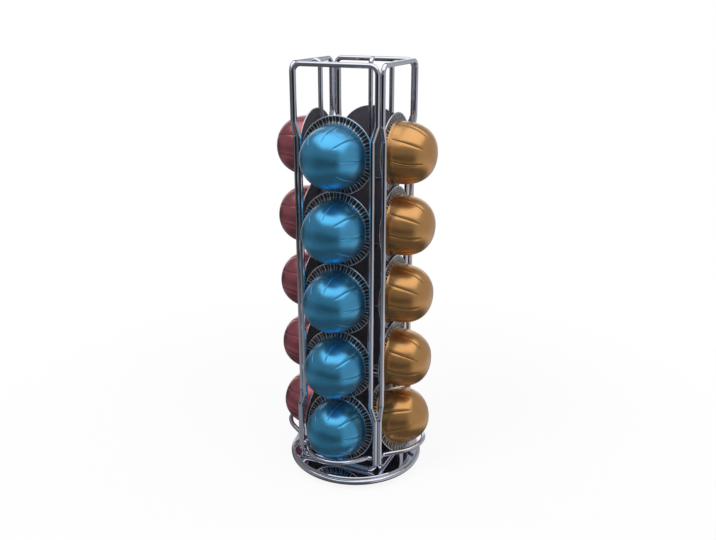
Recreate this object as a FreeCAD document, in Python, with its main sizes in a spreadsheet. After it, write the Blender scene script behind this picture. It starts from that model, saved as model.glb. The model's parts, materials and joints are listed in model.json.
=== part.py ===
import FreeCAD, Part
import math
import os
import Sketcher
from FreeCAD import Placement, Rotation, Vector

# A revolving wire tower that holds coffee capsules in four columns.
# Z is up, the tower turns about Z, and the origin is on the table under its centre.
# Each column faces outward; the front column faces -Y. Lengths are millimetres.

SIZES = [
    # Wire frames, one closed loop for each face
    ("wire_diameter", 4.0, "round wire of the frames, guides and cradles"),
    ("weld_gap", 0.05, "gap left between welded wires"),
    ("face_offset", 37.5, "from the tower axis to the plane of a face frame"),
    ("wide_half", 34.5, "half the leg spacing where the frame is wide"),
    ("narrow_half", 30.5, "half the leg spacing where the frame holds the rims"),
    ("frame_height", 336.1, "from the bottom bar's centre to the top bar's centre"),
    ("lower_jog_start", 47.4, "height of the lower jog's wide end above the bottom bar"),
    ("upper_jog_end", 292.7, "height of the upper jog's wide end above the bottom bar"),
    ("jog_height", 11.7, "height over which a leg steps from wide to narrow"),
    ("corner_radius", 6.0, "centre line radius at the frame corners"),
    ("jog_radius", 5.0, "centre line radius at the jogs"),
    # Guide wires behind the lids
    ("guide_radius", 30.6, "from the tower axis to an upright guide wire"),
    ("guide_top_bend", 4.0, "centre line radius at the top of a guide wire"),
    ("guide_low_bend", 9.0, "centre line radius where a guide wire turns to the centre"),
    ("guide_cross_height", 71.2, "height of the cross of guide wires above the bottom bar"),
    # Cradle wires that hold the lowest domes
    ("cradle_height", 11.3, "height of the cradle's tabs above the bottom bar"),
    ("cradle_offset", 0.4, "from the face plane out to the cradle's tabs"),
    ("cradle_half", 28.6, "half the spacing of the cradle's corners"),
    ("cradle_apex", 51.0, "from the tabs to where the cradle's arms would meet"),
    ("cradle_nose_radius", 24.2, "centre line radius of the cradle's nose"),
    ("cradle_corner_radius", 4.0, "centre line radius at the cradle's corners"),
    ("cradle_tilt", 9.2, "upward tilt of the cradle in degrees"),
    # Round base
    ("ring_radius", 56.4, "centre line radius of the edge ring"),
    ("ring_diameter", 4.7, "round bar of the edge ring"),
    ("plate_thickness", 2.0, "mirror plate"),
    ("plate_edge", 0.5, "chamfer of the mirror plate"),
    # Turntable under the mirror plate
    ("pad_radius", 6.0, "non-slip pad"),
    ("pad_thickness", 2.6, "non-slip pad"),
    ("pad_recess", 0.6, "depth of the pads' recesses"),
    ("pad_circle", 38.0, "radius of the circle of pads"),
    ("pad_count", 4, "number of pads"),
    ("pad_start_angle", 45.0, "angle of the first pad from +X in degrees"),
    ("pad_clearance", 0.1, "radial gap round a pad"),
    ("base_radius", 50.0, "lower base disc"),
    ("base_thickness", 3.0, "lower base disc"),
    ("ball_diameter", 4.0, "bearing ball"),
    ("ball_circle", 24.0, "radius of the circle of balls"),
    ("ball_count", 12, "number of bearing balls"),
    ("ball_clearance", 0.05, "gap between a ball and its grooves"),
    ("groove_depth", 0.65, "depth of each ball groove"),
    ("cage_thickness", 1.0, "ball cage"),
    ("cage_margin", 2.2, "cage and race material beside the ball holes"),
    ("race_thickness", 2.0, "upper race"),
    ("rivet_radius", 4.0, "pivot rivet shank"),
    ("rivet_head_radius", 7.5, "pivot rivet head and foot"),
    ("rivet_head_height", 1.5, "pivot rivet head"),
    ("rivet_foot_height", 1.2, "pivot rivet foot"),
    ("pivot_clearance", 0.06, "radial running gap round the rivet"),
    ("pivot_play", 0.2, "axial gap under the rivet head"),
    # Capsules
    ("rim_radius", 31.0, "outer radius of a capsule rim"),
    ("bead_diameter", 1.0, "rolled edge of the rim"),
    ("flange_thickness", 0.3, "flat flange inside the rolled edge"),
    ("flange_lift", 0.1, "from the rim plane out to the flange's middle"),
    ("flare_radius", 2.9, "hollow fillet between flange and dome"),
    ("dome_radius", 24.6, "outer radius of the dome"),
    ("dome_depth", 33.5, "from the rim plane to the tip of the dome"),
    ("shoulder_radius", 22.4, "dome profile arc beside the wall"),
    ("nose_radius", 50.0, "dome profile arc at the tip"),
    ("shell_wall", 0.6, "wall of the capsule shell"),
    ("lid_thickness", 0.25, "sealing foil"),
    ("lid_clearance", 0.1, "gap round the foil"),
    # Places of the capsules
    ("stack_radius", 34.3, "from the tower axis to the rim plane in the stack"),
    ("stack_tilt", -1.35, "stacked capsules lean nose down, in degrees"),
    ("stack_pitch", 58.55, "height from one stacked capsule to the next"),
    ("stack_height", 92.5, "height of the lowest stacked capsule above the bottom bar"),
    ("front_lowest_radius", 33.0, "rim centre of the lowest capsule from the axis"),
    ("front_lowest_sink", 2.9, "its dome's underside below the cradle tabs, taken before the tilt"),
    ("front_lowest_tilt", 7.0, "its nose-up tilt in degrees"),
    ("right_lowest_radius", 34.5, "rim centre of the lowest capsule from the axis"),
    ("right_lowest_sink", 3.5, "its dome's underside below the cradle tabs, taken before the tilt"),
    ("right_lowest_tilt", 27.0, "its nose-up tilt in degrees"),
    ("back_lowest_radius", 33.6, "rim centre of the lowest capsule from the axis"),
    ("back_lowest_sink", 3.85, "its dome's underside below the cradle tabs, taken before the tilt"),
    ("back_lowest_tilt", 11.0, "its nose-up tilt in degrees"),
    ("left_lowest_radius", 34.3, "rim centre of the lowest capsule from the axis"),
    ("left_lowest_sink", 2.85, "its dome's underside below the cradle tabs, taken before the tilt"),
    ("left_lowest_tilt", 9.0, "its nose-up tilt in degrees"),
]
FACES = {"front": 0, "right": 90, "back": 180, "left": 270}
OUTWARD = {0: (0, -1), 90: (1, 0), 180: (0, 1), 270: (-1, 0)}
STACKED = ("top", "second", "third", "fourth")


# The sheet of sizes, and arithmetic that keeps number and expression together
doc = FreeCAD.newDocument("CapsuleTower")
sheet = doc.addObject("Spreadsheet::Sheet", "Sizes")
for row, (alias, number, note) in enumerate(SIZES, start=1):
    sheet.set(f"A{row}", note)
    sheet.set(f"B{row}", str(number))
    sheet.setAlias(f"B{row}", alias)
doc.recompute()


class Size:
    """A number together with the sheet expression that gives it."""

    def __init__(self, number, text):
        self.number = number
        self.text = text

    def join(self, other, sign, result):
        return Size(result, f"({self.text} {sign} {as_size(other).text})")

    def __add__(self, other):
        return self.join(other, "+", self.number + as_size(other).number)

    def __sub__(self, other):
        return self.join(other, "-", self.number - as_size(other).number)

    def __mul__(self, other):
        return self.join(other, "*", self.number * as_size(other).number)

    def __truediv__(self, other):
        return self.join(other, "/", self.number / as_size(other).number)

    def __neg__(self):
        return Size(-self.number, f"(-1 * {self.text})")


def as_size(value):
    return value if isinstance(value, Size) else Size(value, repr(value))


def size(alias):
    return Size(float(sheet.get(alias)), f"Sizes.{alias}")


def sine(angle):
    return Size(math.sin(math.radians(angle.number)), f"sin({angle.text} * 1 deg)")


def cosine(angle):
    return Size(math.cos(math.radians(angle.number)), f"cos({angle.text} * 1 deg)")


def bind(thing, **lengths):
    """Tie each named property to the sheet."""
    for name, length in lengths.items():
        thing.setExpression(name, as_size(length).text)
    return thing


def place(thing, x=0, y=0, z=0, yaw=0, roll=0):
    """Tie a sub-part's Placement to the sheet. Yaw turns about Z and roll about X, in degrees."""
    x, y, z, roll = (as_size(value) for value in (x, y, z, roll))
    thing.Placement = Placement(Vector(x.number, y.number, z.number), Rotation(yaw, 0, roll.number))
    place_text = f"vector({x.text}; {y.text}; {z.text})"
    thing.setExpression("Placement", f"placement({place_text}; rotation({yaw}; 0; {roll.text}))")
    return thing


# Derived heights, from the table up, and other shared places
wire = size("wire_diameter")
wire_radius = wire / 2
base_floor = size("pad_thickness") - size("pad_recess")
base_top = base_floor + size("base_thickness")
ball_radius = size("ball_diameter") / 2
groove_radius = ball_radius + size("ball_clearance")
ball_height = base_top - size("groove_depth") + groove_radius
race_floor = ball_height + groove_radius - size("groove_depth")
plate_floor = race_floor + size("race_thickness")
plate_top = plate_floor + size("plate_thickness")
bar_height = plate_top + size("weld_gap") + wire_radius
top_bar_height = bar_height + size("frame_height")
ring_height = plate_floor - size("weld_gap") - size("ring_diameter") / 2
flange_out = size("flange_lift") + size("flange_thickness") / 2
flange_in = size("flange_lift") - size("flange_thickness") / 2
bead_radius = size("bead_diameter") / 2
bead_circle = size("rim_radius") - bead_radius


# Sketch and body helpers
def new_body(label):
    body = doc.addObject("PartDesign::Body", label)
    body.Label = label
    return body


def new_sketch(body, name, plane, lift=0, shift=(0, 0), roll=0):
    """A sketch on one of the body's origin planes, lifted along the plane's normal."""
    sketch = body.newObject("Sketcher::SketchObject", f"{body.Label}_{name}")
    support = [item for item in body.Origin.OriginFeatures if item.Role == plane]
    sketch.AttachmentSupport = [(support[0], "")]
    sketch.MapMode = "FlatFace"
    offsets = [as_size(value) for value in (shift[0], shift[1], lift)]
    roll = as_size(roll)
    turn = Rotation(0, 0, roll.number)
    sketch.AttachmentOffset = Placement(Vector(*[offset.number for offset in offsets]), turn)
    vector_text = "; ".join(offset.text for offset in offsets)
    offset_text = f"placement(vector({vector_text}); rotation(0; 0; {roll.text}))"
    sketch.setExpression("AttachmentOffset", offset_text)
    return sketch


def hold(sketch, kind, *geometry, length=None):
    """Add a constraint, and bind it to the sheet when it carries a length."""
    if length is None:
        return sketch.addConstraint(Sketcher.Constraint(kind, *geometry))
    length = as_size(length)
    index = sketch.addConstraint(Sketcher.Constraint(kind, *geometry, length.number))
    sketch.setExpression(f"Constraints[{index}]", length.text)
    return index


def pin_point(sketch, geometry, end, x, y):
    """Hold one point of a sketch at x, y from the sketch's origin."""
    hold(sketch, "DistanceX", geometry, end, length=x)
    hold(sketch, "DistanceY", geometry, end, length=y)


def add_circle(sketch, x, y, radius):
    x, y, radius = (as_size(value) for value in (x, y, radius))
    circle = Part.Circle(Vector(x.number, y.number, 0), Vector(0, 0, 1), radius.number)
    index = sketch.addGeometry(circle)
    pin_point(sketch, index, 3, x, y)
    hold(sketch, "Radius", index, length=radius)


def add_rounded_line(sketch, corners, closed):
    """Straight runs through the corners (x, y, radius), each corner rounded by a tangent arc.

    The ends of an open line carry no radius.
    """
    corners = [tuple(as_size(value) for value in corner) for corner in corners]
    points = [Vector(corner[0].number, corner[1].number, 0) for corner in corners]
    count = len(points)
    rounded = range(count) if closed else range(1, count - 1)
    enter, leave, arcs = list(points), list(points), {}
    for i in rounded:
        before = (points[i - 1] - points[i]).normalize()
        after = (points[(i + 1) % count] - points[i]).normalize()
        half_angle = before.getAngle(after) / 2
        radius = corners[i][2].number
        enter[i] = points[i] + before * (radius / math.tan(half_angle))
        leave[i] = points[i] + after * (radius / math.tan(half_angle))
        centre = points[i] + (before + after).normalize() * (radius / math.sin(half_angle))
        arcs[i] = (centre, radius, before.cross(after).z < 0)
    lines = {}
    for i in range(count if closed else count - 1):
        lines[i] = sketch.addGeometry(Part.LineSegment(leave[i], enter[(i + 1) % count]))
    for i in rounded:
        centre, radius, turns_left = arcs[i]
        angles = [math.atan2(p.y - centre.y, p.x - centre.x) for p in (enter[i], leave[i])]
        first, last = angles if turns_left else reversed(angles)
        circle = Part.Circle(centre, Vector(0, 0, 1), radius)
        arc = sketch.addGeometry(Part.ArcOfCircle(circle, first, last))
        corner = sketch.addGeometry(Part.Point(points[i]), True)
        start, end = (1, 2) if turns_left else (2, 1)
        pin_point(sketch, corner, 1, corners[i][0], corners[i][1])
        run_in, run_out = lines[(i - 1) % count], lines[i]
        hold(sketch, "Tangent", run_in, 2, arc, start)
        hold(sketch, "Tangent", arc, end, run_out, 1)
        hold(sketch, "PointOnObject", corner, 1, run_in)
        hold(sketch, "PointOnObject", corner, 1, run_out)
        hold(sketch, "Radius", arc, length=corners[i][2])
    if not closed:
        pin_point(sketch, lines[0], 1, corners[0][0], corners[0][1])
        pin_point(sketch, lines[count - 2], 2, corners[-1][0], corners[-1][1])


def add_polygon(sketch, points):
    """A closed outline of straight edges."""
    points = [tuple(as_size(value) for value in point) for point in points]
    places = [Vector(x.number, y.number, 0) for x, y in points]
    edges = [sketch.addGeometry(Part.LineSegment(places[i - 1], places[i])) for i in range(len(places))]
    for i, edge in enumerate(edges):
        pin_point(sketch, edge, 2, *points[i])
        hold(sketch, "Coincident", edge, 2, edges[(i + 1) % len(edges)], 1)


def revolve(body, sketch, axis="H_Axis"):
    feature = body.newObject("PartDesign::Revolution", f"{body.Label}_turned")
    feature.Profile = sketch
    feature.ReferenceAxis = (sketch, [axis])
    feature.Angle = 360
    return feature


def sweep_wire(body, path, profile):
    """The round wire: the profile circle carried along the path."""
    feature = body.newObject("PartDesign::AdditivePipe", f"{body.Label}_wire")
    feature.Profile = profile
    feature.Spine = (path, [])
    return feature


# Wire work of one face; in a body's own frame the face looks along -Y
def make_face_frame(face, yaw):
    """A closed loop of wire: bottom bar, legs that step in to hold the rims, top bar."""
    body = new_body(f"{face}_frame")
    wide, narrow = size("wide_half"), size("narrow_half")
    corner, jog = size("corner_radius"), size("jog_radius")
    low_wide = bar_height + size("lower_jog_start")
    low_narrow = low_wide + size("jog_height")
    high_wide = bar_height + size("upper_jog_end")
    high_narrow = high_wide - size("jog_height")
    right_side = [
        (wide, bar_height, corner),
        (wide, low_wide, jog),
        (narrow, low_narrow, jog),
        (narrow, high_narrow, jog),
        (wide, high_wide, jog),
        (wide, top_bar_height, corner),
    ]
    left_side = [(-x, z, radius) for x, z, radius in reversed(right_side)]
    path = new_sketch(body, "path", "XZ_Plane", lift=size("face_offset"))
    add_rounded_line(path, right_side + left_side, closed=True)
    profile = new_sketch(body, "profile", "YZ_Plane")
    add_circle(profile, -size("face_offset"), bar_height, wire_radius)
    sweep_wire(body, path, profile)
    return place(body, yaw=yaw)


def make_guide_wire(face, yaw, end_radius):
    """An upright wire behind the lids, hung from the top bar and turned in to the cross below."""
    body = new_body(f"{face}_guide_wire")
    start = size("face_offset") - wire_radius - size("weld_gap")
    upright = -size("guide_radius")
    cross_height = bar_height + size("guide_cross_height")
    path = new_sketch(body, "path", "YZ_Plane")
    corners = [
        (-start, top_bar_height, 0),
        (upright, top_bar_height, size("guide_top_bend")),
        (upright, cross_height, size("guide_low_bend")),
        (-end_radius, cross_height, 0),
    ]
    add_rounded_line(path, corners, closed=False)
    profile = new_sketch(body, "profile", "XZ_Plane", lift=start)
    add_circle(profile, 0, top_bar_height, wire_radius)
    sweep_wire(body, path, profile)
    return place(body, yaw=yaw)


def make_cradle(face, yaw):
    """A nearly level loop that runs out from the legs and keeps the lowest dome from falling."""
    body = new_body(f"{face}_cradle")
    tab_end = size("wide_half") - wire_radius - size("weld_gap")
    tab_radius = size("face_offset") + size("cradle_offset")
    tab_height = bar_height + size("cradle_height")
    corner, bend = size("cradle_half"), size("cradle_corner_radius")
    corners = [
        (-tab_end, 0, 0),
        (-corner, 0, bend),
        (0, -size("cradle_apex"), size("cradle_nose_radius")),
        (corner, 0, bend),
        (tab_end, 0, 0),
    ]
    shift = (0, -tab_radius)
    path = new_sketch(body, "path", "XY_Plane", lift=tab_height, shift=shift, roll=-size("cradle_tilt"))
    add_rounded_line(path, corners, closed=False)
    profile = new_sketch(body, "profile", "YZ_Plane", lift=-tab_end)
    add_circle(profile, -tab_radius, tab_height, wire_radius)
    sweep_wire(body, path, profile)
    return place(body, yaw=yaw)


# Round base that turns with the frames
def make_mirror_plate():
    body = new_body("mirror_plate")
    sketch = new_sketch(body, "outline", "XY_Plane")
    add_circle(sketch, 0, 0, size("ring_radius"))
    add_circle(sketch, 0, 0, size("rivet_radius") + size("pivot_clearance"))
    pad = body.newObject("PartDesign::Pad", "mirror_plate_disc")
    pad.Profile = sketch
    bind(pad, Length=size("plate_thickness"))
    doc.recompute()
    edges = [f"Edge{i + 1}" for i, edge in enumerate(pad.Shape.Edges) if is_outer_top_edge(edge)]
    chamfer = body.newObject("PartDesign::Chamfer", "mirror_plate_edge")
    chamfer.Base = (pad, edges)
    bind(chamfer, Size=size("plate_edge"))
    return place(body, z=plate_floor)


def is_outer_top_edge(edge):
    box = edge.BoundBox
    middle = size("plate_thickness").number / 2
    return box.ZMin > middle and box.XLength > size("ring_radius").number


def make_edge_ring():
    body = new_body("edge_ring")
    sketch = new_sketch(body, "section", "XZ_Plane")
    add_circle(sketch, size("ring_radius"), 0, size("ring_diameter") / 2)
    revolve(body, sketch, "V_Axis")
    return place(body, z=ring_height)


def ring_disc(name, inner, outer, floor, thickness):
    """A flat ring as a cylinder less a cylinder."""
    disc = doc.addObject("Part::Cylinder", f"{name}_disc")
    bind(disc, Radius=outer, Height=thickness)
    place(disc, z=floor)
    bore = doc.addObject("Part::Cylinder", f"{name}_bore")
    bind(bore, Radius=inner, Height=thickness)
    place(bore, z=floor)
    return disc, bore


def ball_track(name):
    """The round groove that the balls run in."""
    track = doc.addObject("Part::Torus", f"{name}_track")
    bind(track, Radius1=size("ball_circle"), Radius2=groove_radius)
    return place(track, z=ball_height)


def cut_away(label, body, tools):
    tool = doc.addObject("Part::Compound", f"{label}_tools")
    tool.Links = tools
    result = doc.addObject("Part::Cut", label)
    result.Base = body
    result.Tool = tool
    result.Label = label
    return result


def make_upper_race():
    """Fixed under the mirror plate, grooved for the balls."""
    margin = groove_radius + size("cage_margin")
    inner, outer = size("ball_circle") - margin, size("ball_circle") + margin
    disc, bore = ring_disc("upper_race", inner, outer, race_floor, size("race_thickness"))
    return cut_away("upper_race", disc, [bore, ball_track("upper_race")])


# Turntable base that stays still
def around(count, radius, start=0):
    """Places x, y evenly spaced on a circle, as sizes."""
    for i in range(int(count.number)):
        angle = Size(360 * i / count.number, f"(360 * {i} / {count.text})") + start
        yield radius * cosine(angle), radius * sine(angle)


def pad_places():
    return around(size("pad_count"), size("pad_circle"), start=size("pad_start_angle"))


def make_lower_base():
    inner, outer = size("rivet_radius"), size("base_radius")
    disc, bore = ring_disc("lower_base", inner, outer, base_floor, size("base_thickness"))
    tools = [bore, ball_track("lower_base")]
    for i, (x, y) in enumerate(pad_places()):
        recess = doc.addObject("Part::Cylinder", f"pad_recess_{i + 1}")
        bind(recess, Radius=size("pad_radius") + size("pad_clearance"), Height=size("pad_recess"))
        tools.append(place(recess, x=x, y=y, z=base_floor))
    return cut_away("lower_base", disc, tools)


def make_pads():
    pads = []
    for i, (x, y) in enumerate(pad_places()):
        pad = doc.addObject("Part::Cylinder", f"pad_{i + 1}")
        bind(pad, Radius=size("pad_radius"), Height=size("pad_thickness"))
        pads.append(place(pad, x=x, y=y))
    group = doc.addObject("Part::Compound", "non_slip_pads")
    group.Links = pads
    return group


def make_bearing_balls():
    balls = []
    for i, (x, y) in enumerate(around(size("ball_count"), size("ball_circle"))):
        ball = doc.addObject("Part::Sphere", f"ball_{i + 1}")
        bind(ball, Radius=ball_radius)
        balls.append(place(ball, x=x, y=y, z=ball_height))
    group = doc.addObject("Part::Compound", "bearing_balls")
    group.Links = balls
    return group


def make_ball_cage():
    """A flat ring with a round window for each ball."""
    body = new_body("ball_cage")
    margin = groove_radius + size("cage_margin")
    outline = new_sketch(body, "outline", "XY_Plane")
    add_circle(outline, 0, 0, size("ball_circle") + margin)
    add_circle(outline, 0, 0, size("ball_circle") - margin)
    pad = body.newObject("PartDesign::Pad", "ball_cage_ring")
    pad.Profile = outline
    bind(pad, Length=size("cage_thickness"))
    doc.recompute()
    window = new_sketch(body, "window", "XY_Plane")
    add_circle(window, size("ball_circle"), 0, groove_radius)
    pocket = body.newObject("PartDesign::Pocket", "ball_cage_window")
    pocket.Profile = window
    pocket.Type = "ThroughAll"
    pocket.Reversed = True
    doc.recompute()
    pattern = body.newObject("PartDesign::PolarPattern", "ball_cage_windows")
    pattern.Originals = [pocket]
    pattern.Axis = (outline, ["N_Axis"])
    pattern.Angle = 360
    bind(pattern, Occurrences=size("ball_count"))
    body.Tip = pattern
    return place(body, z=ball_height - size("cage_thickness") / 2)


def make_pivot_rivet():
    """Shank through base and plate, a foot below and a low head above."""
    body = new_body("pivot_rivet")
    shank, head = size("rivet_radius"), size("rivet_head_radius")
    foot_floor = base_floor - size("rivet_foot_height")
    head_floor = plate_top + size("pivot_play")
    head_top = head_floor + size("rivet_head_height")
    sketch = new_sketch(body, "section", "XZ_Plane")
    outline = [
        (0, foot_floor),
        (head, foot_floor),
        (head, base_floor),
        (shank, base_floor),
        (shank, head_floor),
        (head, head_floor),
        (shank, head_top),
        (0, head_top),
    ]
    add_polygon(sketch, outline)
    revolve(body, sketch, "V_Axis")
    return body


# Capsules; in a body's own frame the rim plane is y = 0 and the dome points along -Y
def add_arc(sketch, centre, first, last):
    """An arc that runs counter-clockwise from first to last about the centre."""
    angles = [math.atan2(p.y - centre.y, p.x - centre.x) for p in (first, last)]
    circle = Part.Circle(centre, Vector(0, 0, 1), (first - centre).Length)
    return sketch.addGeometry(Part.ArcOfCircle(circle, angles[0], angles[1]))


def add_line(sketch, first, last):
    """A line between two places held on the sheet."""
    ends = [tuple(as_size(value) for value in end) for end in (first, last)]
    points = [Vector(x.number, y.number, 0) for x, y in ends]
    line = sketch.addGeometry(Part.LineSegment(*points))
    pin_point(sketch, line, 1, *ends[0])
    pin_point(sketch, line, 2, *ends[1])
    return line


def add_dome(sketch, inset, foot):
    """Half profile of the dome from its foot to the tip: wall line, shoulder arc and nose arc.

    Depth runs along the sketch's -x. The wall line ends where the shoulder arc is tangent to it.
    """
    wall_radius = size("dome_radius") - inset
    depth = size("dome_depth") - inset
    shoulder = size("shoulder_radius") - inset
    nose = size("nose_radius") - inset
    drop = wall_radius.number - shoulder.number
    reach = math.sqrt((nose.number - shoulder.number) ** 2 - drop ** 2)
    nose_centre = Vector(nose.number - depth.number, 0, 0)
    shoulder_centre = nose_centre + Vector(-reach, drop, 0)
    joint = nose_centre + (shoulder_centre - nose_centre).normalize() * nose.number
    wall_end = Vector(shoulder_centre.x, wall_radius.number, 0)
    tip = Vector(-depth.number, 0, 0)
    wall_start = Vector(-foot.number, wall_radius.number, 0)
    wall = sketch.addGeometry(Part.LineSegment(wall_start, wall_end))
    shoulder_arc = add_arc(sketch, shoulder_centre, wall_end, joint)
    nose_arc = add_arc(sketch, nose_centre, joint, tip)
    pin_point(sketch, wall, 1, -foot, wall_radius)
    hold(sketch, "Horizontal", wall)
    hold(sketch, "Tangent", wall, 2, shoulder_arc, 1)
    hold(sketch, "Tangent", shoulder_arc, 2, nose_arc, 1)
    hold(sketch, "Radius", shoulder_arc, length=shoulder)
    hold(sketch, "Radius", nose_arc, length=nose)
    hold(sketch, "PointOnObject", nose_arc, 3, -1)
    pin_point(sketch, nose_arc, 2, -depth, 0)


def add_flare(sketch):
    """The hollow fillet between flange and dome, centred outside both."""
    foot = flange_out + size("flare_radius")
    top = size("dome_radius") + size("flare_radius")
    centre = Vector(-foot.number, top.number, 0)
    first = Vector(-foot.number, size("dome_radius").number, 0)
    last = Vector(-flange_out.number, top.number, 0)
    arc = add_arc(sketch, centre, first, last)
    pin_point(sketch, arc, 1, -foot, size("dome_radius"))
    pin_point(sketch, arc, 2, -flange_out, top)
    hold(sketch, "DistanceX", arc, 3, length=-foot)
    return foot, top


def make_capsule_shell(label):
    """Domed shell with a flat flange and a rolled edge."""
    body = new_body(label)
    section = new_sketch(body, "section", "YZ_Plane")
    wall = size("shell_wall")
    depth = size("dome_depth")
    mouth = size("dome_radius") - wall
    foot, flare_top = add_flare(section)
    add_dome(section, as_size(0), foot)
    add_dome(section, wall, flange_in)
    add_line(section, (-depth, 0), (wall - depth, 0))
    add_line(section, (-flange_out, flare_top), (-flange_out, bead_circle))
    add_line(section, (-flange_out, bead_circle), (-flange_in, bead_circle))
    add_line(section, (-flange_in, bead_circle), (-flange_in, mouth))
    revolve(body, section)
    bead = new_sketch(body, "bead", "YZ_Plane")
    add_circle(bead, 0, bead_circle, bead_radius)
    revolve(body, bead)
    return body


def make_capsule_lid(label):
    """Sealing foil against the inner side of the flange, inside the rolled edge."""
    body = new_body(label)
    thickness = size("lid_thickness")
    lift = flange_in - size("weld_gap") - thickness
    outline = new_sketch(body, "outline", "XZ_Plane", lift=lift)
    add_circle(outline, 0, 0, bead_circle - bead_radius - size("lid_clearance"))
    pad = body.newObject("PartDesign::Pad", f"{label}_foil")
    pad.Profile = outline
    bind(pad, Length=thickness)
    return body


def make_capsule(name, yaw, radius, height, tilt):
    """Shell and lid, the rim centre at this radius and height, tilted nose up."""
    out_x, out_y = OUTWARD[yaw]
    pieces = [make_capsule_shell(f"{name}_capsule_shell"), make_capsule_lid(f"{name}_capsule_lid")]
    for piece in pieces:
        place(piece, x=radius * out_x, y=radius * out_y, z=height, yaw=yaw, roll=-tilt)
    return pieces


def make_column(face, yaw):
    """Four stacked capsules and the lowest one, which leans out over the cradle."""
    capsules = []
    lowest_stacked = bar_height + size("stack_height")
    for step, level in enumerate(reversed(STACKED)):
        height = lowest_stacked + size("stack_pitch") * step
        capsules += make_capsule(f"{face}_{level}", yaw, size("stack_radius"), height, size("stack_tilt"))
    radius, tilt = size(f"{face}_lowest_radius"), size(f"{face}_lowest_tilt")
    height = bar_height + size("cradle_height") + size("dome_radius") - size(f"{face}_lowest_sink")
    return capsules + make_capsule(f"{face}_lowest", yaw, radius, height, tilt)


# The whole dispenser
parts = [
    make_pads(),
    make_lower_base(),
    make_pivot_rivet(),
    make_bearing_balls(),
    make_ball_cage(),
    make_upper_race(),
    make_mirror_plate(),
    make_edge_ring(),
]
for face, yaw in FACES.items():
    first_across = face in ("front", "back")
    guide_end = size("weld_gap") if first_across else wire_radius + size("weld_gap")
    parts.append(make_face_frame(face, yaw))
    parts.append(make_guide_wire(face, yaw, guide_end))
    parts.append(make_cradle(face, yaw))
    parts += make_column(face, yaw)
doc.recompute()

# Checks, then one file for each sub-part
for item in doc.Objects:
    if "Invalid" in item.State or "Error" in item.State:
        raise RuntimeError(f"{item.Label} failed: {item.State}")
os.makedirs("parts", exist_ok=True)
for part in parts:
    if part.Shape.isNull() or not part.Shape.isValid():
        raise RuntimeError(f"{part.Label} has no valid shape")
    part.Shape.exportStep(f"parts/{part.Label}.step")
print(len(parts), "sub-parts written")
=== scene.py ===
import json
import math

import bpy
import numpy as np
from mathutils import Matrix, Vector


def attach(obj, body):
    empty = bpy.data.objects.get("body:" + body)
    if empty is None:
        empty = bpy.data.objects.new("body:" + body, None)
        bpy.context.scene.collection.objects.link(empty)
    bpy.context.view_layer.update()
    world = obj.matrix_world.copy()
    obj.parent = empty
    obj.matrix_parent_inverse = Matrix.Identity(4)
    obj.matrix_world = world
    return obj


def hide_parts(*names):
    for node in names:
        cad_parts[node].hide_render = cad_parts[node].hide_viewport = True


# The looks of a revolving wire tower with domed coffee capsules in four columns.
# Lengths are millimetres and angles degrees, unless a heading or a function says otherwise.
# Meshes are made in metres, in the part's own frame.
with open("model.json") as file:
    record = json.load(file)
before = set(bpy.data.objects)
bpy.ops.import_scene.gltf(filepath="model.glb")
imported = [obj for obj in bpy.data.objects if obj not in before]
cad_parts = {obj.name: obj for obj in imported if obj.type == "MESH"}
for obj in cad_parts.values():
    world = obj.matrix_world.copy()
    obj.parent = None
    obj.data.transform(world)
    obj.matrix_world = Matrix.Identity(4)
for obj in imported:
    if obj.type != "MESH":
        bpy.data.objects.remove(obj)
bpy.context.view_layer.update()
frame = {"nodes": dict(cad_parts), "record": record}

MM = 0.001
OUTWARD = {"front": (0, -1), "right": (1, 0), "back": (0, 1), "left": (-1, 0)}

# Levels of a column, each with the group of capsules that it moves with
LEVELS = {"top": "stack", "second": "stack", "third": "stack", "fourth": "stack", "lowest": "lowest"}

# Capsule profile, from the rim plane out to the tip of the dome
RIM_RADIUS = 31.0
BEAD_RADIUS = 0.5
BEAD_FROM = -30
BEAD_TO = 210
FLANGE_OUT = 0.25
FLANGE_IN = -0.05
FLARE_RADIUS = 2.9
FLARE_FROM = 270
FLARE_TO = 180
DOME_RADIUS = 24.6
COLLAR_DEPTH = 5.3
DOME_DEPTH = 33.5
DOME_ROUNDNESS = 2.4
SHELL_WALL = 0.6

# Rings of points beside the bends of the profile, by their distance from the bend
BELOW_COLLAR = 0.8
ABOVE_FOOT = 0.5
BEFORE_BEAD = 0.4
AFTER_BEAD = 0.1

# Steps of points along each stretch of the profile, and round the shell and the lid
DOME_STEPS = 36
INNER_DOME_STEPS = 8
FLARE_STEPS = 7
BEAD_STEPS = 10
GROOVE_STEPS = 3
PLAIN_STEPS = 7
LID_STEPS = 96

# Pressed lines on the dome; they start and end at these shares of its depth
GROOVE_COUNT = 9
GROOVE_SKEW = 12.0
GROOVE_HALF_WIDTH = 0.5
GROOVE_PRESS = 0.38
GROOVE_START = 0.12
GROOVE_END = 0.875
GROOVE_RUNOUT = 0.05

# Near the tip, half a line is at most this many degrees wide
GROOVE_WIDEST = 6.0

# Painted shade along each pressed line: whole within LINE_CORE of its middle, gone at LINE_REACH of its
# half width
LINE_CORE = 0.1
LINE_REACH = 0.8
LINE_SHADE_STRENGTH = 0.7
LINE_SHADE = 0.2

# How far the capsules of each column are rolled about their own axis
ROLL = {"front": 4.0, "right": 15.0, "back": 10.0, "left": 16.0}

# Printed ring of dark ink with bare ticks, made uneven by a second, weaker beat
TICK_COUNT = 60
OFFBEAT_RATIO = 1.6
OFFBEAT_SHARE = 0.55
OFFBEAT_SHIFT = 1.0
INK_SPAN = (-0.95, -0.6)
RING_INNER = 25.1
RING_BLEED = 0.2

# Depths at which the printed ring is gone and at which it is whole
RING_SPAN = (FLARE_RADIUS + 1.0, FLARE_RADIUS - 0.5)

# Bare rolled edge
EDGE_INNER = 30.2
EDGE_BLEED = 0.15

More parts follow.
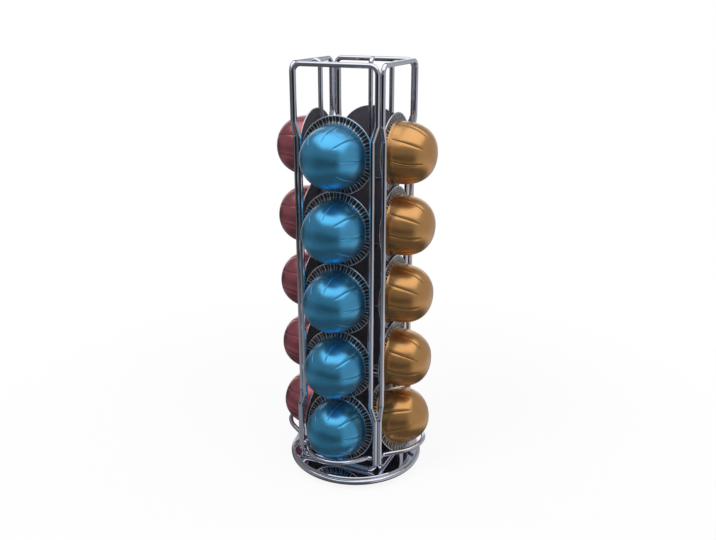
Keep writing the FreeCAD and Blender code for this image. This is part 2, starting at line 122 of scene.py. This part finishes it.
# Foil lid, lying inside the rolled edge, with a ring pressed in where it is sealed
LID_RADIUS = 29.9
LID_NEAR = -0.10
LID_FAR = -0.35
LID_MIDDLE = (LID_NEAR + LID_FAR) / 2
FAR_RINGS = (8.0, 16.0, 23.0)
NEAR_RINGS = (24.0, 12.0)
SEAL_FOOT = 24.4
SEAL_INNER = 24.9
SEAL_OUTER = 28.9
SEAL_PRESS = 0.09
BORDER_RADIUS = 29.5
BORDER_PRESS = 0.05
LIP_PRESS = 0.10

# Unevenness of the finishes: noise scale and detail, added roughness, and bumps as strength and height
FINE_DETAIL = 4.0
WAVE_SCALE = 0.35
WAVE_BUMP = (0.02, 0.4)
HAZE_SCALE = 2.0
HAZE_ROUGHNESS = 0.02
STREAKS_ROUND = 9
STREAKS_OUT = 0.12
STREAKS_DEEP = 0.05
STREAK_SCALE = 4.0
STREAK_DETAIL = 3.0
STREAK_ROUGHNESS = 0.08
STREAK_BUMP = (0.05, 0.3)
CLOUD_SCALE = 0.09
CLOUD_SHADE = 0.82
MOTTLE_SCALE = 0.6
MOTTLE_ROUGHNESS = 0.16
DIMPLE_SCALE = 1.6
DIMPLE_BUMP = (0.25, 0.25)
GRAIN_ROUGHNESS = 0.1
GRAIN_BUMP = (0.3, 0.1)
MARKS_OUT = 3
MARKS_UP = 0.5
MARK_SCALE = 2.5
MARK_ROUGHNESS = 0.12
MARK_BUMP = (0.15, 0.1)

# Shell and foil
LACQUER_WEIGHT = 0.8
LACQUER_ROUGHNESS = 0.4
SATIN_ROUGHNESS = 0.25
EDGE_ROUGHNESS = 0.2
SHELL_METAL = 0.92
INK_METAL_LOSS = 0.5
FOIL_METAL = 0.35
FOIL_ROUGHNESS = 0.42

# Outputs in use on shader nodes that have several
GENERATED_PLACE, OBJECT_PLACE = 0, 3
ATTRIBUTE_VECTOR = 1
CAMERA_RAY, GLOSSY_RAY, TRANSMISSION_RAY = 0, 3, 6


def srgb(red, green, blue):
    """A screen colour, 0 to 255, as the linear colour that a shader takes."""
    shares = [channel / 255 for channel in (red, green, blue)]
    return (*[s / 12.92 if s <= 0.04045 else ((s + 0.055) / 1.055) ** 2.4 for s in shares], 1.0)


def shaded(colour, share):
    """The same colour at this share of its brightness."""
    return tuple(share * channel for channel in colour[:3]) + (1.0,)


WHITE = (1.0, 1.0, 1.0, 1.0)
TICK_SILVER = srgb(206, 210, 216)
INK = srgb(26, 28, 36)
BARE_EDGE = srgb(222, 225, 230)
FOIL_DARK = srgb(80, 77, 86)
FOIL_LIGHT = srgb(108, 105, 114)
SHELL_COLOURS = {
    "front": ("blue_shell", srgb(80, 187, 242)),
    "right": ("gold_shell", srgb(224, 166, 98)),
    "back": ("green_shell", srgb(34, 72, 58)),
    "left": ("red_shell", srgb(206, 112, 126)),
}


# Shader expressions
class Socket:
    """An output of a shader node; arithmetic on it adds Math nodes."""

    def __init__(self, shader, output):
        self.shader = shader
        self.output = output

    def math(self, operation, *values):
        return self.shader.node("ShaderNodeMath", {"operation": operation}, *values)[0]

    def __add__(self, other):
        return self.math("ADD", self, other)

    def __sub__(self, other):
        return self.math("SUBTRACT", self, other)

    def __rsub__(self, other):
        return self.math("SUBTRACT", other, self)

    def __mul__(self, other):
        return self.math("MULTIPLY", self, other)

    def __neg__(self):
        return self * -1

    __radd__ = __add__
    __rmul__ = __mul__


class Shader:
    """A node tree. Inputs are given in order, and outputs come back in order, enabled ones only."""

    def __init__(self, tree):
        self.tree = tree

    def node(self, kind, settings=(), *inputs):
        made = self.tree.nodes.new(kind)
        for name, value in dict(settings).items():
            setattr(made, name, value)
        free = [socket for socket in made.inputs if socket.enabled]
        for socket, value in zip(free, inputs):
            if isinstance(value, Socket):
                self.tree.links.new(value.output, socket)
            elif value is not None:
                socket.default_value = value
        return [Socket(self, output) for output in made.outputs if output.enabled]

    def mix(self, factor, first, second):
        return self.node("ShaderNodeMix", {"data_type": "RGBA"}, factor, first, second)[0]

    def rise(self, value, low, high):
        """0 below low, 1 above high and smooth between. With low above high it falls instead."""
        settings = {"interpolation_type": "SMOOTHSTEP"}
        return self.node("ShaderNodeMapRange", settings, value, low, high, 0.0, 1.0)[0]

    def noise(self, vector, scale, detail=2.0):
        return self.node("ShaderNodeTexNoise", (), vector, scale, detail)[0]

    def sine(self, value):
        return self.node("ShaderNodeMath", {"operation": "SINE"}, value)[0]

    def split(self, vector):
        """The x, y and z of a vector."""
        return self.node("ShaderNodeSeparateXYZ", (), vector)

    def join(self, x, y, z):
        return self.node("ShaderNodeCombineXYZ", (), x, y, z)[0]

    def distance(self, first, second):
        """Distance from an axis, from the two places across it."""
        return self.node("ShaderNodeMath", {"operation": "SQRT"}, first * first + second * second)[0]

    def place(self):
        """Object coordinates in millimetres."""
        place = self.node("ShaderNodeTexCoord")[OBJECT_PLACE]
        return self.node("ShaderNodeVectorMath", {"operation": "SCALE"}, place, 1 / MM)[0]

    def own_place(self):
        """Place in a capsule's own frame, in millimetres, as its mesh keeps it."""
        return self.node("ShaderNodeAttribute", {"attribute_name": "own_place"})[ATTRIBUTE_VECTOR]

    def bump(self, height, strength, distance):
        return self.node("ShaderNodeBump", (), strength, distance * MM, None, height)[0]


def new_finish(name, **fixed):
    """A material and its shader. Fixed values go on the surface's own sockets."""
    material = bpy.data.materials.new(name)
    material.use_nodes = True
    surface = material.node_tree.nodes["Principled BSDF"]
    for socket, value in fixed.items():
        surface.inputs[socket.replace("_", " ")].default_value = value
    return material, Shader(material.node_tree), surface


def drive(shader, surface, **sockets):
    """Lead values that vary over the surface into it."""
    for name, value in sockets.items():
        shader.tree.links.new(value.output, surface.inputs[name.replace("_", " ")])


# Finishes
def make_chrome(name, tint, smooth):
    """Polished plating with faint waves and a slightly uneven gloss."""
    material, shader, surface = new_finish(name, Metallic=1.0, Base_Color=tint)
    place = shader.place()
    waves = shader.noise(place, WAVE_SCALE)
    haze = shader.noise(place, HAZE_SCALE, FINE_DETAIL)
    drive(shader, surface, Roughness=smooth + HAZE_ROUGHNESS * haze, Normal=shader.bump(waves, *WAVE_BUMP))
    return material


def printed_ring(shader, radius, angle, depth):
    """Masks of the printed ring round the rim, and of the ink between its bare ticks."""
    offbeat = shader.sine(angle * (TICK_COUNT * OFFBEAT_RATIO) + OFFBEAT_SHIFT)
    beat = shader.sine(angle * TICK_COUNT) + OFFBEAT_SHARE * offbeat
    ring = shader.rise(radius, RING_INNER - RING_BLEED, RING_INNER + RING_BLEED)
    return ring * shader.rise(depth, *RING_SPAN), shader.rise(beat, *INK_SPAN)


def painted_groove_shade(shader, radius, angle, share):
    """Mask of the painted shade along the pressed lines; share is how far along the dome's depth a point
    is.
    """
    turn = (angle - share * math.radians(GROOVE_SKEW)) * (GROOVE_COUNT / (2 * math.pi))
    half_spacing = 0.5
    aside = shader.node("ShaderNodeMath", {"operation": "PINGPONG"}, turn, half_spacing)[0]
    from_line = aside * radius * (2 * math.pi / GROOVE_COUNT)
    started = shader.rise(share, GROOVE_START, GROOVE_START + GROOVE_RUNOUT)
    ended = shader.rise(share, GROOVE_END - GROOVE_RUNOUT, GROOVE_END)
    outside = shader.rise(from_line, LINE_CORE, GROOVE_HALF_WIDTH * LINE_REACH)
    return (1 - outside) * (started * (1 - ended))


def make_shell_finish(name, colour):
    """Satin anodised dome under clear lacquer.

    Its pressed lines are darkened with painted shade, its rim has a printed ring of ticks, and its rolled
    edge is bare.
    """
    lacquer = {"Coat_Weight": LACQUER_WEIGHT, "Coat_Roughness": LACQUER_ROUGHNESS}
    material, shader, surface = new_finish(name, **lacquer)
    place = shader.own_place()
    x, y, z = shader.split(place)
    radius = shader.distance(x, z)
    angle = shader.node("ShaderNodeMath", {"operation": "ARCTAN2"}, z, x)[0]
    ring, ink = printed_ring(shader, radius, angle, -y)
    edge = shader.rise(radius, EDGE_INNER - EDGE_BLEED, EDGE_INNER + EDGE_BLEED)
    # Mask of the painted shade in the pressed lines
    line = painted_groove_shade(shader, radius, angle, y * (-1 / DOME_DEPTH))
    streak_place = shader.join(angle * STREAKS_ROUND, radius * STREAKS_OUT, y * STREAKS_DEEP)
    streaks = shader.noise(streak_place, STREAK_SCALE, STREAK_DETAIL)
    clouds = shader.noise(place, CLOUD_SCALE)
    paint = shader.mix(clouds, shaded(colour, CLOUD_SHADE), colour)
    # Painted shade: the colour is darkened along the pressed lines
    paint = shader.mix(line * LINE_SHADE_STRENGTH, paint, shaded(colour, LINE_SHADE))
    paint = shader.mix(ring, paint, shader.mix(ink, TICK_SILVER, INK))
    paint = shader.mix(edge, paint, BARE_EDGE)
    satin = SATIN_ROUGHNESS + STREAK_ROUGHNESS * streaks
    gloss = satin * (1 - edge) + EDGE_ROUGHNESS * edge
    metal = SHELL_METAL - INK_METAL_LOSS * ink * ring * (1 - edge)
    drive(shader, surface, Base_Color=paint, Roughness=gloss, Metallic=metal)
    drive(shader, surface, Normal=shader.bump(streaks, *STREAK_BUMP))
    return material


def make_lid_finish():
    """Dark foil, nearly matt and a little mottled."""
    material, shader, surface = new_finish("lid_foil", Metallic=FOIL_METAL)
    place = shader.own_place()
    mottle = shader.noise(place, MOTTLE_SCALE, FINE_DETAIL)
    dimples = shader.noise(place, DIMPLE_SCALE)
    paint = shader.mix(mottle, FOIL_DARK, FOIL_LIGHT)
    drive(shader, surface, Base_Color=paint, Roughness=FOIL_ROUGHNESS + MOTTLE_ROUGHNESS * mottle)
    drive(shader, surface, Normal=shader.bump(dimples, *DIMPLE_BUMP))
    return material


def make_grained(name, dark, light, rough, scale):
    """Moulded plastic or rubber with a fine grain."""
    material, shader, surface = new_finish(name)
    grain = shader.noise(shader.place(), scale, FINE_DETAIL)
    paint = shader.mix(grain, dark, light)
    drive(shader, surface, Base_Color=paint, Roughness=rough + GRAIN_ROUGHNESS * grain)
    drive(shader, surface, Normal=shader.bump(grain, *GRAIN_BUMP))
    return material


def make_turned_metal(name, dark, light, rough):
    """Ground or turned metal, marked in rings about the tower's axis."""
    material, shader, surface = new_finish(name, Metallic=1.0)
    x, y, z = shader.split(shader.place())
    ring_place = shader.join(shader.distance(x, y) * MARKS_OUT, z * MARKS_UP, 0.0)
    marks = shader.noise(ring_place, MARK_SCALE, FINE_DETAIL)
    paint = shader.mix(marks, dark, light)
    drive(shader, surface, Base_Color=paint, Roughness=rough + MARK_ROUGHNESS * marks)
    drive(shader, surface, Normal=shader.bump(marks, *MARK_BUMP))
    return material


finishes = {
    "chrome_wire": make_chrome("chrome_wire", srgb(224, 227, 240), smooth=0.02),
    "mirror_plate": make_chrome("mirror_plate", srgb(214, 217, 230), smooth=0.015),
    "bearing_steel": make_turned_metal(
        "bearing_steel", srgb(150, 150, 154), srgb(196, 197, 202), rough=0.25
    ),
    "cage_brass": make_turned_metal(
        "cage_brass", srgb(176, 140, 72), srgb(214, 178, 104), rough=0.3
    ),
    "base_plastic": make_grained("base_plastic", srgb(24, 24, 26), srgb(38, 38, 40), rough=0.5, scale=3.0),
    "pad_rubber": make_grained("pad_rubber", srgb(20, 20, 20), srgb(34, 34, 34), rough=0.8, scale=5.0),
    "lid_foil": make_lid_finish(),
}
for slot_name, shell_colour in SHELL_COLOURS.values():
    finishes[slot_name] = make_shell_finish(slot_name, shell_colour)


# Capsule meshes; in a capsule's own frame the rim plane is y = 0 and the dome points along -Y
def arc(centre_depth, centre_radius, radius, first, last, count):
    """Points of a profile arc, as (depth, radius)."""
    for i in range(count + 1):
        angle = math.radians(first + (last - first) * i / count)
        yield centre_depth + radius * math.cos(angle), centre_radius + radius * math.sin(angle)


def dome_curve(inset, count):
    """The rounded dome from collar to just short of the tip, as (depth, radius)."""
    power = 2 / DOME_ROUNDNESS
    for i in range(count):
        angle = math.pi / 2 * i / count
        depth = COLLAR_DEPTH + (DOME_DEPTH - COLLAR_DEPTH - inset) * math.sin(angle) ** power
        yield depth, (DOME_RADIUS - inset) * math.cos(angle) ** power


def shell_profile():
    """Half section in three parts: dome tip to flange, rolled edge, and back inside towards the tip."""
    bead_circle = RIM_RADIUS - BEAD_RADIUS
    foot = FLANGE_OUT + FLARE_RADIUS
    flare_top = DOME_RADIUS + FLARE_RADIUS
    outer = list(dome_curve(0.0, DOME_STEPS))[::-1]
    outer += [(COLLAR_DEPTH - BELOW_COLLAR, DOME_RADIUS), (foot + ABOVE_FOOT, DOME_RADIUS)]
    outer += arc(foot, flare_top, FLARE_RADIUS, FLARE_FROM, FLARE_TO, FLARE_STEPS)
    outer.append((FLANGE_OUT, bead_circle - BEAD_RADIUS - BEFORE_BEAD))
    bead = list(arc(0.0, bead_circle, BEAD_RADIUS, BEAD_FROM, BEAD_TO, BEAD_STEPS))
    inner = [
        (FLANGE_IN, bead_circle - BEAD_RADIUS - AFTER_BEAD),
        (FLANGE_IN, DOME_RADIUS - SHELL_WALL),
    ]
    inner += list(dome_curve(SHELL_WALL, INNER_DOME_STEPS))
    return outer, bead, inner


def groove_press(share, across):
    """How deep a pressed line is at this share of the dome's depth; across is -1 to 1 over its width."""
    fade_in = min(1.0, max(0.0, (share - GROOVE_START) / GROOVE_RUNOUT))
    fade_out = min(1.0, max(0.0, (GROOVE_END - share) / GROOVE_RUNOUT))
    return GROOVE_PRESS * fade_in * fade_out * (1 + math.cos(math.pi * across)) / 2


def outward_normals(profile):
    """Unit normals of the dome's section, as (depth, radius)."""
    for before, after in zip(profile[:1] + profile[:-1], profile[1:] + profile[-1:]):
        along_depth, along_radius = after[0] - before[0], after[1] - before[1]
        length = math.hypot(along_depth, along_radius)
        yield along_radius / length, -along_depth / length


def shell_columns(radius):
    """Angles round the dome at this radius, close together over each pressed line.

    Each comes with its place across the line, -1 to 1, and the plain dome between lines counts as 1.
    """
    spacing = 360 / GROOVE_COUNT
    half = min(GROOVE_WIDEST, math.degrees(GROOVE_HALF_WIDTH / max(radius, GROOVE_HALF_WIDTH)))
    for groove in range(GROOVE_COUNT):
        for step in range(-GROOVE_STEPS, GROOVE_STEPS + 1):
            yield spacing * groove + half * step / GROOVE_STEPS, step / GROOVE_STEPS
        for step in range(1, PLAIN_STEPS):
            yield spacing * groove + half + (spacing - 2 * half) * step / PLAIN_STEPS, 1.0


def make_shell_mesh():
    """The shell with its pressed lines, closed at the tip outside and inside."""
    outer, bead, inner = shell_profile()
    profile = outer + bead + inner
    normals = list(outward_normals(outer))
    count = len(list(shell_columns(DOME_RADIUS)))
    points = []
    for index, (depth, radius) in enumerate(profile):
        share = depth / DOME_DEPTH
        for angle, across in shell_columns(radius):
            turned = math.radians(angle + GROOVE_SKEW * share)
            reach, level = radius, depth
            if index < len(outer):
                press = groove_press(share, across)
                level -= press * normals[index][0]
                reach -= press * normals[index][1]
            points.append((reach * math.cos(turned), -level, reach * math.sin(turned)))
    faces = []
    for ring in range(len(profile) - 1):
        for column in range(count):
            following = (column + 1) % count
            first, second = ring * count + column, ring * count + following
            faces.append((first, second, second + count, first + count))
    tips = ((0, DOME_DEPTH, True), (len(profile) - 1, DOME_DEPTH - SHELL_WALL, False))
    for ring, depth, outside in tips:
        tip = len(points)
        points.append((0.0, -depth, 0.0))
        for column in range(count):
            first, second = ring * count + column, ring * count + (column + 1) % count
            faces.append((second, first, tip) if outside else (first, second, tip))
    return finish_mesh("capsule_shell", points, faces)


def lid_outline():
    """Half section of the lid, from the middle of its far side round to the middle of its near side."""
    far_side = [(LID_FAR, radius) for radius in (0.0, *FAR_RINGS, SEAL_FOOT)]
    border = [
        (LID_FAR + SEAL_PRESS, SEAL_INNER),
        (LID_FAR + SEAL_PRESS, SEAL_OUTER),
        (LID_FAR + BORDER_PRESS, BORDER_RADIUS),
        (LID_FAR + LIP_PRESS, LID_RADIUS),
        (LID_NEAR, LID_RADIUS),
    ]
    near_side = [(LID_NEAR, radius) for radius in (*NEAR_RINGS, 0.0)]
    return far_side + border + near_side


def make_lid_mesh():
    """A foil disc with its sealed ring."""
    outline = lid_outline()
    points = [(0.0, -outline[0][0], 0.0)]
    faces = []
    for depth, radius in outline[1:-1]:
        for column in range(LID_STEPS):
            angle = 2 * math.pi * column / LID_STEPS
            points.append((radius * math.cos(angle), -depth, radius * math.sin(angle)))
    last = len(points)
    points.append((0.0, -outline[-1][0], 0.0))
    rings = len(outline) - 2
    for column in range(LID_STEPS):
        following = (column + 1) % LID_STEPS
        faces.append((0, 1 + following, 1 + column))
        end = 1 + (rings - 1) * LID_STEPS
        faces.append((last, end + column, end + following))
        for ring in range(rings - 1):
            first, second = 1 + ring * LID_STEPS + column, 1 + ring * LID_STEPS + following
            faces.append((first, second, second + LID_STEPS, first + LID_STEPS))
    return finish_mesh("capsule_lid", points, faces)


def finish_mesh(name, points, faces):
    """A smooth mesh that keeps each point's place in the capsule's own frame."""
    mesh = bpy.data.meshes.new(name)
    mesh.from_pydata([Vector(point) * MM for point in points], [], faces)
    mesh.validate()
    mesh.shade_smooth()
    own_place = mesh.attributes.new("own_place", "FLOAT_VECTOR", "POINT")
    own_place.data.foreach_set("vector", [length for point in points for length in point])
    return mesh


def capsule_place(face, lid_node):
    """Where a capsule is: read from its packed lid, a flat disc at a known depth behind the rim plane."""
    out_x, out_y = OUTWARD[face]
    lid = frame["nodes"][lid_node].data
    corners = np.array([vertex.co for vertex in lid.vertices])
    low, high = corners.min(axis=0), corners.max(axis=0)
    centre = Vector((low + high) / 2)
    thin = Vector(np.linalg.svd(corners - corners.mean(axis=0), full_matrices=False)[2][2])
    outward = Vector((out_x, out_y, 0.0))
    dome_axis = thin if thin.dot(outward) > 0 else -thin
    sideways = Vector((-out_y, out_x, 0.0))
    up = sideways.cross(-dome_axis)
    rim_centre = centre - dome_axis * LID_MIDDLE * MM
    turned = Matrix((sideways, -dome_axis, up)).transposed().to_4x4()
    return Matrix.Translation(rim_centre) @ turned


def add_piece(name, mesh, place, body, node, slot_name):
    """Put a capsule's piece at its place, in the finish of its slot."""
    mesh.transform(place)
    mesh.materials.append(finishes[slot_name])
    piece = bpy.data.objects.new(name, mesh)
    bpy.context.scene.collection.objects.link(piece)
    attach(piece, body)
    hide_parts(node)


def dress_capsules():
    """Put a finer shell and lid in place of each packed one."""
    shell_mesh = make_shell_mesh()
    lid_mesh = make_lid_mesh()
    for face in OUTWARD:
        shell_slot = SHELL_COLOURS[face][0]
        roll = Matrix.Rotation(math.radians(ROLL[face]), 4, "Y")
        for level, group in LEVELS.items():
            node = f"{face}_{level}_capsule"
            body = f"{face}_{group}"
            place = capsule_place(face, f"{node}_lid") @ roll
            add_piece(f"{node}_skin", shell_mesh.copy(), place, body, f"{node}_shell", shell_slot)
            add_piece(f"{node}_foil", lid_mesh.copy(), place, body, f"{node}_lid", "lid_foil")


def dress_packed_nodes():
    """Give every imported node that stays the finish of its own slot."""
    for entry in frame["record"]["subparts"]:
        node = frame["nodes"][entry["node"]]
        if not node.hide_render:
            node.data.materials.clear()
            node.data.materials.append(finishes[entry["material_slot"]])


# Camera; its focal length is in pixels of a picture that is PHOTO_WIDTH pixels wide
CAMERA_PLACE = (254.7, -565.5, 391.85)
CAMERA_AZIMUTH = 24.25
CAMERA_DROP = 18.95
CAMERA_TURN = 0.19
PHOTO_WIDTH = 716
FOCAL_PIXELS = 773.9
SENSOR_WIDTH = 36.0

# Room: levels, where 1 is white, and the spans of a ray's direction over which a part begins or ends
ROOM_LEVEL = 0.012
HORIZON = (-0.02, 0.06)
WALL_LEVEL = 0.18
TABLE_LEVEL = 0.2
TABLE_NEAR_SIDE = (-0.75, -0.5)
TABLE_FAR_SIDE = (-0.45, -0.25)
UNDERSIDE_LEVEL = 0.09
UNDERSIDE_START = (0.6, 0.9)
HIGH_CARD_LEVEL = 0.21
HIGH_CARD_TOP = (0.45, 0.7)
LOW_CARD_LEVEL = 0.4
LOW_CARD_FOOT = (-0.75, -0.45)
RIGHT_CARD_SIDE = (0.25, 0.6)
LEFT_CARD_SHARE = 0.3
LEFT_CARD_SIDE = (0.75, 0.95)
BACKDROP_LEVEL = 0.25
BACKDROP_SIDE = (0.8, 0.95)
BACKDROP_FOOT = (-0.5, -0.1)

# Floor: its reach is in metres, and it grows white to the camera over this distance from the tower
FLOOR_REACH = 6.0
FLOOR_COLOUR = srgb(240, 240, 242)
FLOOR_ROUGHNESS = 0.9
FLOOR_WHITE = 0.9
FLOOR_FADE = (150.0, 500.0)

# Softbox above the tower, in metres, and its brightness where 1 is white
SOFTBOX_WIDTH = 2.1
SOFTBOX_DEPTH = 1.6
SOFTBOX_RIGHT = 0.1
SOFTBOX_FRONT = 0.3
SOFTBOX_HEIGHT = 1.2
SOFTBOX_LEVEL = 1.05

# Lamps, in metres and watts; both are aimed at the middle of the tower
LAMP_AIM = (0, 0, 0.17)
LAMP_SIZE = 1.0
KEY_PLACE = (-0.5, -1.0, 1.5)
KEY_POWER = 12.0
FILL_PLACE = (1.2, -0.6, 1.0)
FILL_POWER = 6.0


def make_camera():
    """The view of the photograph."""
    data = bpy.data.cameras.new("camera")
    data.sensor_width = SENSOR_WIDTH
    data.lens = FOCAL_PIXELS / PHOTO_WIDTH * SENSOR_WIDTH
    camera = bpy.data.objects.new("camera", data)
    bpy.context.scene.collection.objects.link(camera)
    camera.location = Vector(CAMERA_PLACE) * MM
    heading = math.radians(CAMERA_AZIMUTH - CAMERA_TURN)
    camera.rotation_euler = (math.radians(90 - CAMERA_DROP), 0, heading)
    bpy.context.scene.camera = camera


def make_room():
    """White to the camera; around the object a dim room with a pale table, side cards and a backdrop.

    Behind the tower, as the camera sees it, the backdrop is white in reflections too.
    """
    world = bpy.data.worlds.new("studio_room")
    bpy.context.scene.world = world
    world.use_nodes = True
    shader = Shader(world.node_tree)
    x, y, z = shader.split(shader.node("ShaderNodeTexCoord")[GENERATED_PLACE])
    azimuth = math.radians(CAMERA_AZIMUTH)
    toward = x * math.sin(azimuth) - y * math.cos(azimuth)
    right = x * math.cos(azimuth) + y * math.sin(azimuth)
    above = shader.rise(z, *HORIZON)
    wall = WALL_LEVEL * above
    table = TABLE_LEVEL * shader.rise(z, *TABLE_NEAR_SIDE) * (1 - shader.rise(z, *TABLE_FAR_SIDE))
    underside = UNDERSIDE_LEVEL * shader.rise(-z, *UNDERSIDE_START)
    high_card = HIGH_CARD_LEVEL * above * (1 - shader.rise(z, *HIGH_CARD_TOP))
    low_card = LOW_CARD_LEVEL * (1 - above) * shader.rise(z, *LOW_CARD_FOOT)
    right_card = (high_card + low_card) * shader.rise(right, *RIGHT_CARD_SIDE)
    left_card = LEFT_CARD_SHARE * (high_card + low_card) * shader.rise(-right, *LEFT_CARD_SIDE)
    backdrop = shader.rise(-toward, *BACKDROP_SIDE) * shader.rise(z, *BACKDROP_FOOT)
    level = ROOM_LEVEL + wall + table + underside + right_card + left_card + BACKDROP_LEVEL * backdrop
    rays = shader.node("ShaderNodeLightPath")
    white = rays[CAMERA_RAY] + (rays[GLOSSY_RAY] + rays[TRANSMISSION_RAY]) * backdrop
    strength = level * (1 - white) + white
    background = world.node_tree.nodes["Background"]
    world.node_tree.links.new(strength.output, background.inputs["Strength"])
    background.inputs["Color"].default_value = WHITE


def make_floor():
    """A pale floor that keeps the shadow near the object and turns plain white further out."""
    mesh = bpy.data.meshes.new("floor")
    signs = ((-1, -1), (1, -1), (1, 1), (-1, 1))
    mesh.from_pydata([(a * FLOOR_REACH, b * FLOOR_REACH, 0) for a, b in signs], [], [(0, 1, 2, 3)])
    floor = bpy.data.objects.new("floor", mesh)
    bpy.context.scene.collection.objects.link(floor)
    material, shader, surface = new_finish("floor", Roughness=FLOOR_ROUGHNESS, Base_Color=FLOOR_COLOUR)
    x, y, _ = shader.split(shader.place())
    far_off = shader.rise(shader.distance(x, y), *FLOOR_FADE)
    glow = shader.node("ShaderNodeEmission", (), WHITE, 1.0)[0]
    camera_ray = shader.node("ShaderNodeLightPath")[CAMERA_RAY]
    white = camera_ray * (FLOOR_WHITE + (1 - FLOOR_WHITE) * far_off)
    both = shader.node("ShaderNodeMixShader", (), white, None, glow)[0]
    first_shader = both.output.node.inputs[1]
    tree = material.node_tree
    tree.links.new(surface.outputs["BSDF"], first_shader)
    tree.links.new(both.output, tree.nodes["Material Output"].inputs["Surface"])
    mesh.materials.append(material)
    floor.visible_glossy = False


def add_softbox():
    """A level panel above the tower, turned with the camera and shifted to its right and front."""
    data = bpy.data.lights.new("softbox", "AREA")
    data.shape = "RECTANGLE"
    data.size = SOFTBOX_WIDTH
    data.size_y = SOFTBOX_DEPTH
    data.energy = math.pi * SOFTBOX_WIDTH * SOFTBOX_DEPTH * SOFTBOX_LEVEL
    panel = bpy.data.objects.new("softbox", data)
    bpy.context.scene.collection.objects.link(panel)
    azimuth = math.radians(CAMERA_AZIMUTH)
    right = Vector((math.cos(azimuth), math.sin(azimuth), 0))
    front = Vector((math.sin(azimuth), -math.cos(azimuth), 0))
    panel.location = right * SOFTBOX_RIGHT + front * SOFTBOX_FRONT + Vector((0, 0, SOFTBOX_HEIGHT))
    panel.rotation_euler = (0, 0, azimuth)
    panel.visible_camera = False


def add_lamp(name, place, power):
    """A round lamp that is aimed at the tower and isn't seen in its metal."""
    data = bpy.data.lights.new(name, "AREA")
    data.shape = "DISK"
    data.size = LAMP_SIZE
    data.energy = power
    lamp = bpy.data.objects.new(name, data)
    bpy.context.scene.collection.objects.link(lamp)
    lamp.location = place
    lamp.rotation_euler = (Vector(LAMP_AIM) - Vector(place)).to_track_quat("-Z", "Y").to_euler()
    lamp.visible_glossy = False


bpy.context.scene.view_settings.view_transform = "Standard"
dress_capsules()
dress_packed_nodes()
make_camera()
make_room()
make_floor()
add_softbox()
add_lamp("key_lamp", KEY_PLACE, KEY_POWER)
add_lamp("fill_lamp", FILL_PLACE, FILL_POWER)
